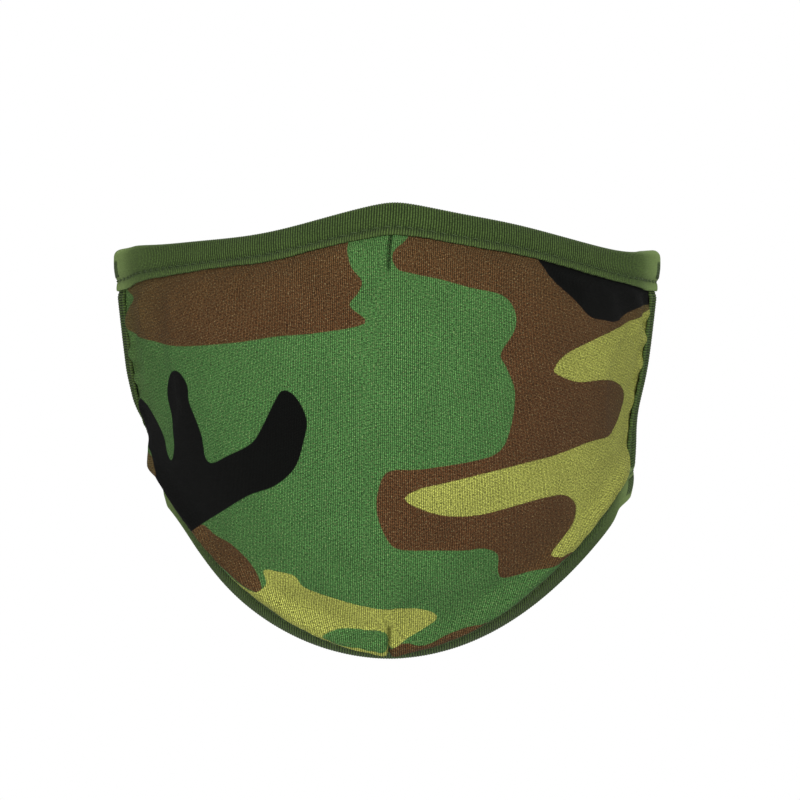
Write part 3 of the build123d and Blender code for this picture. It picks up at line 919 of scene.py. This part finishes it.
for name, edge_v in (("top", TOP), ("bottom", BOTTOM)):
    rows = both_faces(rim_samples(edge_v)[::RIB_STEPS], rim_place(edge_v), TOP_SEWN)
    seam = threads(f"{name}_seam", rows, THREAD_RADIUS)
    dress(seam, THREAD, "thread", "mask", f"{name}_binding_stitches")
for name, side in (("right", RIGHT), ("left", LEFT)):
    rows = both_faces(side_samples(side)[::RIB_STEPS], side_place(side), SIDE_SEWN)
    seam = threads(f"{name}_seam", rows, THREAD_RADIUS)
    dress(seam, THREAD, "thread", "mask", f"{name}_side_stitches")


def dart_lines(edge_v, length):
    """Small bridging stitches down in a dart's groove."""
    place = rim_place(edge_v)
    lines = []
    for k in range(int(length / DART_STITCH_PITCH)):
        distance = BINDING_WIDTH + 0.9 + k * DART_STITCH_PITCH
        reach = np.linspace(-0.5, 0.5, 5)
        u = reach * DART_STITCH_WIDTH / HALF_ACROSS
        deep = -0.28 + 0.12 * (1 - (2 * reach) ** 2)
        lines.append(skin(*place(u, np.full(5, distance) + 0.3 * reach), deep))
    return lines


for name, edge_v, length in (("nose", TOP, NOSE_DART - 1.5), ("chin", BOTTOM, CHIN_DART - 1.5)):
    seam = threads(f"{name}_dart_seam", dart_lines(edge_v, length), DART_THREAD_RADIUS, 6)
    dress(seam, THREAD, "thread", "mask", f"{name}_dart_stitches")


def bartack_lines(side, edge_v):
    """A dense zigzag across the tape's end, front and back."""
    place = rim_place(edge_v)
    per_u = -side / float(cup_frame(np.array(side), np.array(edge_v))[2])
    lines = []
    for height in (FACE_HEIGHT + 0.12, BACK_HEIGHT - 0.12):
        corners = np.arange(TACK_STEPS)
        into = np.linspace(0.7, 3.9, TACK_STEPS)
        across = LOOP_INSET + TACK_REACH * np.where(corners % 2, 1, -1)
        fine = np.linspace(0, TACK_STEPS - 1, TACK_STEPS * 5)
        into, across = (np.interp(fine, corners, a) for a in (into, across))
        bow = 0.16 * (1 - ((across - LOOP_INSET) / TACK_REACH) ** 2) * np.sign(height)
        lines.append(skin(*place(side + into * per_u, across), height + bow))
    return lines


for hand, side in (("right", RIGHT), ("left", LEFT)):
    for level, edge_v in (("upper", TOP), ("lower", BOTTOM)):
        tack = threads(f"{hand}_{level}_tack", bartack_lines(side, edge_v), TACK_THREAD_RADIUS)
        dress(tack, THREAD, "thread", "mask", f"{hand}_{level}_bartack")


# ---- Ear loops ----
LOOP_WIDTH, LOOP_THICKNESS, LOOP_CORDS = 6.0, 1.5, 6
# Half of the loop's line in its own plane: (back from the fold line, up), from the corner to the bend.
LOOP_LINE = [(-3.4, 29.0), (2, 28.8), (10, 28.4), (20, 27.5), (30, 25.9), (40, 22.6), (49, 16.4),
             (55, 7.6), (57, 0)]
CORD_HEIGHT = 0.10
LOOP_LEAN = 0.5
# How far behind the fold line a strap's end still follows its settled corner, and the part that bends
FOLLOW_REACH = 42


def open_curve(points, per_span=12):
    """The smooth curve through points, from the first to the last."""
    points = np.array(points, float)
    padded = np.concatenate([[2 * points[0] - points[1]], points, [2 * points[-1] - points[-2]]])
    out = []
    for i in range(1, len(padded) - 2):
        out += [between(*padded[i - 1 : i + 3], t) for t in np.arange(per_span) / per_span]
    out.append(points[-1])
    return np.array(out)


def ear_loop(name, side, joint):
    """The loop's flat elastic, swept along its line in the plane that the hinge and the toe-in set."""
    origin = np.array(joint["pos_m"]) / MM
    up = np.array(joint["axis"], float)
    up *= np.sign(up[2]) / np.linalg.norm(up)
    back = np.array([-side * math.sin(LOOP_TOE_IN), math.cos(LOOP_TOE_IN), 0.0])
    back -= up * back.dot(up)
    back /= np.linalg.norm(back)
    flat = np.cross(back, up)
    line = open_curve(LOOP_LINE + [(x, -y) for x, y in LOOP_LINE[-2::-1]])
    ahead = np.gradient(line, axis=0)
    ahead /= np.linalg.norm(ahead, axis=1, keepdims=True)
    beside = np.stack([-ahead[:, 1], ahead[:, 0]], -1)
    run = running(line, 0)
    share = np.linspace(0, 1, 33)
    across = LOOP_WIDTH / 2 * np.sin((share - 0.5) * np.pi)
    edge = np.sqrt(np.clip(1 - (np.abs(across) / (LOOP_WIDTH / 2)) ** 6, 0.0, 1))
    cords = CORD_HEIGHT * np.cos(2 * np.pi * across / (LOOP_WIDTH / LOOP_CORDS))
    thick = (LOOP_THICKNESS / 2 - CORD_HEIGHT + cords) * edge + 0.06
    lean = LOOP_LEAN * np.sin(np.pi * run / run[-1]) * np.sin(2 * np.pi * run / run[-1] + 0.7)

    # each end follows the corner that it's caught in
    upper, lower = (settle(np.array(side), np.array(edge_v)) for edge_v in (TOP, BOTTOM))
    follow = np.where(line[:, 1:] > 0, upper, lower) * (1 - smooth(0, FOLLOW_REACH, line[:, :1]))

    def face(sign):
        flat_at = line[:, None, :] + beside[:, None, :] * across[None, :, None]
        out = sign * thick[None, :] + lean[:, None]
        in_plane = origin + flat_at[..., :1] * back + flat_at[..., 1:] * up
        return in_plane + out[..., None] * flat + follow[:, None, :]

    uv = np.stack(np.broadcast_arrays(run[:, None], across[None, :]), -1)
    made = closed_sheet(name, face(1), face(-1), uv)
    node = name.replace("_tape", "")
    dress(made, LOOP_CLOTH, "ear_loop_knit", None, node)
    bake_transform(made)


joints = {joint["name"]: joint for joint in frame["joints"]}
for hand, side in (("right", RIGHT), ("left", LEFT)):
    ear_loop(f"{hand}_ear_loop_tape", side, joints[f"{hand}_ear_loop_swing"])


# ---- Floor, light and camera ----
FLOOR_HEIGHT, FLOOR_RADIUS, FLOOR_CORNERS = -310, 1750, 96
PALE = (0.82, 0.82, 0.82, 1)
BACKDROP, AMBIENT = 1.0, 0.42
LIT_POINT = (0, -0.03, 0)
# Each light: (place, size, watts)
LIGHTS = {
    "key": ((0.30, -1.2, 0.50), 0.8, 14),
    "fill": ((-0.75, -1.0, -0.15), 0.9, 6),
    "rim": ((0.25, 1.2, 0.7), 0.8, 11),
}
CAMERA_AWAY, CAMERA_ACROSS = 1.1, 0.0029
FIELD = 0.2202  # what the picture spans at the mask's open back
SENSOR = 36


def floor(height, radius, corners):
    """A pale round floor that fades out before its rim."""
    turns = np.linspace(0, 2 * np.pi, corners + 1)[:-1]
    ring = [(radius * math.cos(a), radius * math.sin(a), height) for a in turns]
    faces = [[0, 1 + i, 1 + (i + 1) % corners] for i in range(corners)]
    disc = make_object("floor", [(0, 0, height), *ring], faces)
    material = bpy.data.materials.new("pale_floor")
    material.use_nodes = True
    tree = material.node_tree
    surface = tree.nodes["Principled BSDF"]
    surface.inputs["Base Color"].default_value = PALE
    surface.inputs["Roughness"].default_value = 0.9
    place = tree.nodes.new("ShaderNodeTexCoord").outputs["Object"]
    away = tree.nodes.new("ShaderNodeVectorMath")
    away.operation = "LENGTH"
    tree.links.new(place, away.inputs[0])
    fade = tree.nodes.new("ShaderNodeMapRange")
    fade.interpolation_type = "SMOOTHSTEP"
    limits = {"From Min": 0.35, "From Max": radius * MM * 0.97, "To Min": 1.0, "To Max": 0.0}
    for key, value in limits.items():
        fade.inputs[key].default_value = value
    tree.links.new(away.outputs["Value"], fade.inputs["Value"])
    tree.links.new(fade.outputs["Result"], surface.inputs["Alpha"])
    disc.data.materials.append(material)


def area_light(name, place, target, size, watts):
    data = bpy.data.lights.new(name, "AREA")
    data.shape = "DISK"
    data.size = size
    data.energy = watts
    light = bpy.data.objects.new(name, data)
    light.location = place
    light.rotation_euler = (Vector(target) - Vector(place)).to_track_quat("-Z", "Y").to_euler()
    bpy.context.scene.collection.objects.link(light)


def studio():
    """White all round, dimmer as light than as backdrop, with the three lights."""
    world = bpy.data.worlds.new("studio")
    bpy.context.scene.world = world
    world.use_nodes = True
    tree = world.node_tree
    tree.nodes.clear()
    seen, lit = (tree.nodes.new("ShaderNodeBackground") for _ in range(2))
    seen.inputs["Strength"].default_value = BACKDROP
    lit.inputs["Strength"].default_value = AMBIENT
    for background in (seen, lit):
        background.inputs["Color"].default_value = (1, 1, 1, 1)
    path = tree.nodes.new("ShaderNodeLightPath")
    mix = tree.nodes.new("ShaderNodeMixShader")
    out = tree.nodes.new("ShaderNodeOutputWorld")
    tree.links.new(path.outputs["Is Camera Ray"], mix.inputs[0])
    tree.links.new(lit.outputs[0], mix.inputs[1])
    tree.links.new(seen.outputs[0], mix.inputs[2])
    tree.links.new(mix.outputs[0], out.inputs["Surface"])
    for name, (place, size, watts) in LIGHTS.items():
        area_light(name, place, LIT_POINT, size, watts)


def camera():
    data = bpy.data.cameras.new("camera")
    data.sensor_width = SENSOR
    data.lens = SENSOR * CAMERA_AWAY / FIELD
    data.clip_start = 0.05
    data.clip_end = 20
    eye = bpy.data.objects.new("camera", data)
    eye.location = (CAMERA_ACROSS, -CAMERA_AWAY, 0)
    eye.rotation_euler = (math.pi / 2, 0, 0)
    bpy.context.scene.collection.objects.link(eye)
    bpy.context.scene.camera = eye


floor(FLOOR_HEIGHT, FLOOR_RADIUS, FLOOR_CORNERS)
studio()
camera()
bpy.context.scene.view_settings.view_transform = "Standard"
